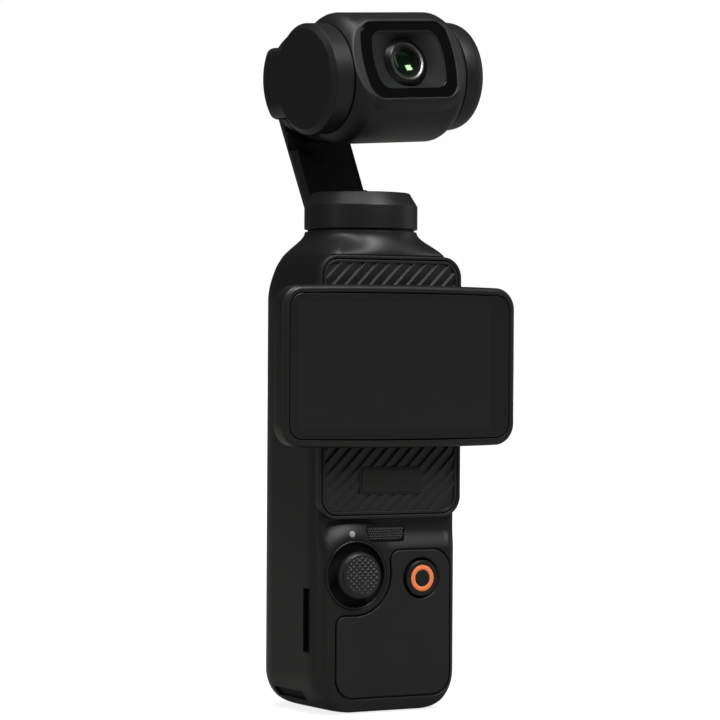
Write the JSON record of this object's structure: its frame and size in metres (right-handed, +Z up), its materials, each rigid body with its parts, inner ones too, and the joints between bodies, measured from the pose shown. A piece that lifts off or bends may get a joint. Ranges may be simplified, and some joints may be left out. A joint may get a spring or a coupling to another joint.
{
  "type": "gimbal camera",
  "caption": "Pocket camera on a stabilising gimbal: slim handle with a swivelling screen, joystick and record button, neck ring, leaning arm and a small barrel camera head.",
  "frame": {"origin": "on the neck's pan axis, in the plane of the handle's flat foot", "axes": "+X to the right of someone facing the screen, +Y away from them, +Z up the handle"},
  "size_m": [0.0534, 0.0422, 0.1409],
  "materials": {
    "casing": "fine moulded texture, black",
    "badge": "satin black",
    "pad": "soft touch, fine grain",
    "grille": "perforated, dark grey",
    "light": "pale frosted light pipe",
    "thumb": "matte black",
    "ring_mark": "orange",
    "stem": "black",
    "board": "green solder resist",
    "cell": "shrink film, dark grey",
    "sheet_steel": "bare",
    "tongue": "black",
    "bush": "plain bearing bronze",
    "winding": "enamelled copper on a laminated core",
    "screen_glass": "dark cover glass, printed border",
    "display": "switched off",
    "gimbal": "fine satin black",
    "window": "glossy black",
    "lens_plate": "satin dark grey",
    "lens_ring": "turned, bright",
    "lens": "coated optical glass, green reflection"
  },
  "bodies": {
    "handle": {"rear_shell": "casing", "front_shell": "casing", "shoulder_shell": "casing", "island_frame": "casing", "ribbed_plate": "casing", "badge_plate": "badge", "grip_pad": "pad", "speaker_grille": "grille", "speaker_unit": "casing", "status_light": "light", "joystick_rim": "casing", "joystick_base": "casing", "record_switch": "stem", "main_board": "board", "inner_frame": "casing", "battery_cell": "cell", "card_socket": "sheet_steel", "charging_socket": "sheet_steel", "charging_tongue": "tongue", "board_screws": "sheet_steel", "hinge_bush": "bush", "neck_collar": "casing", "pan_bearing": "sheet_steel", "pan_stator": "winding"},
    "screen": {"screen_housing": "casing", "screen_glass": "screen_glass", "display_panel": "display", "hinge_plate": "sheet_steel", "hinge_shaft": "sheet_steel", "hinge_washer": "sheet_steel"},
    "stick_cradle": {"joystick_cradle": "casing"},
    "stick": {"joystick_stem": "stem", "joystick_cap": "thumb", "joystick_grip": "thumb"},
    "record_button": {"record_cap": "thumb", "record_ring": "ring_mark", "record_plunger": "stem"},
    "pan_arm": {"neck_ring": "gimbal", "pan_shaft": "sheet_steel", "arm_shell": "gimbal", "arm_cover": "gimbal", "arm_screws": "sheet_steel", "cable_boot": "pad", "roll_stator": "winding", "roll_bearing": "sheet_steel"},
    "roll_bracket": {"roll_bracket": "gimbal", "roll_shaft": "sheet_steel", "tilt_stator": "winding", "tilt_bearing": "sheet_steel"},
    "camera_head": {"camera_barrel": "gimbal", "end_cap": "gimbal", "tilt_shaft": "sheet_steel", "window_frame": "window", "lens_plate": "lens_plate", "lens_ring": "lens_ring", "lens_barrel": "lens_plate", "lens_elements": "lens", "sensor_board": "board"}
  },
  "joints": [
    {"name": "screen_rotate", "type": "hinge", "parent": "handle", "child": "screen", "pos_m": [0.00215, -0.0129, 0.06645], "axis": [0, -1, 0], "range_deg": [0, 90]},
    {"name": "stick_tip", "type": "hinge", "parent": "handle", "child": "stick_cradle", "pos_m": [-0.0079, -0.0065, 0.0271], "axis": [1, 0, 0], "range_deg": [-10, 10], "stiffness_Nm_per_rad": 0.02},
    {"name": "stick_swing", "type": "hinge", "parent": "stick_cradle", "child": "stick", "pos_m": [-0.0079, -0.0065, 0.0271], "axis": [0, 0, 1], "range_deg": [-10, 10], "stiffness_Nm_per_rad": 0.02},
    {"name": "record_press", "type": "slide", "parent": "handle", "child": "record_button", "axis": [0, 1, 0], "range_m": [0, 0.0004], "stiffness_N_per_m": 2000},
    {"name": "pan", "type": "hinge", "parent": "handle", "child": "pan_arm", "pos_m": [0, 0, 0.0955], "axis": [0, 0, 1], "range_deg": [-60, 243]},
    {"name": "roll", "type": "hinge", "parent": "pan_arm", "child": "roll_bracket", "pos_m": [0, 0, 0.1267], "axis": [-0.0645, 0.9979, 0], "range_deg": [-38, 43]},
    {"name": "tilt", "type": "hinge", "parent": "roll_bracket", "child": "camera_head", "pos_m": [0, 0, 0.1267], "axis": [0.9956, 0.0644, 0.068], "range_deg": [-55, 135]}
  ]
}
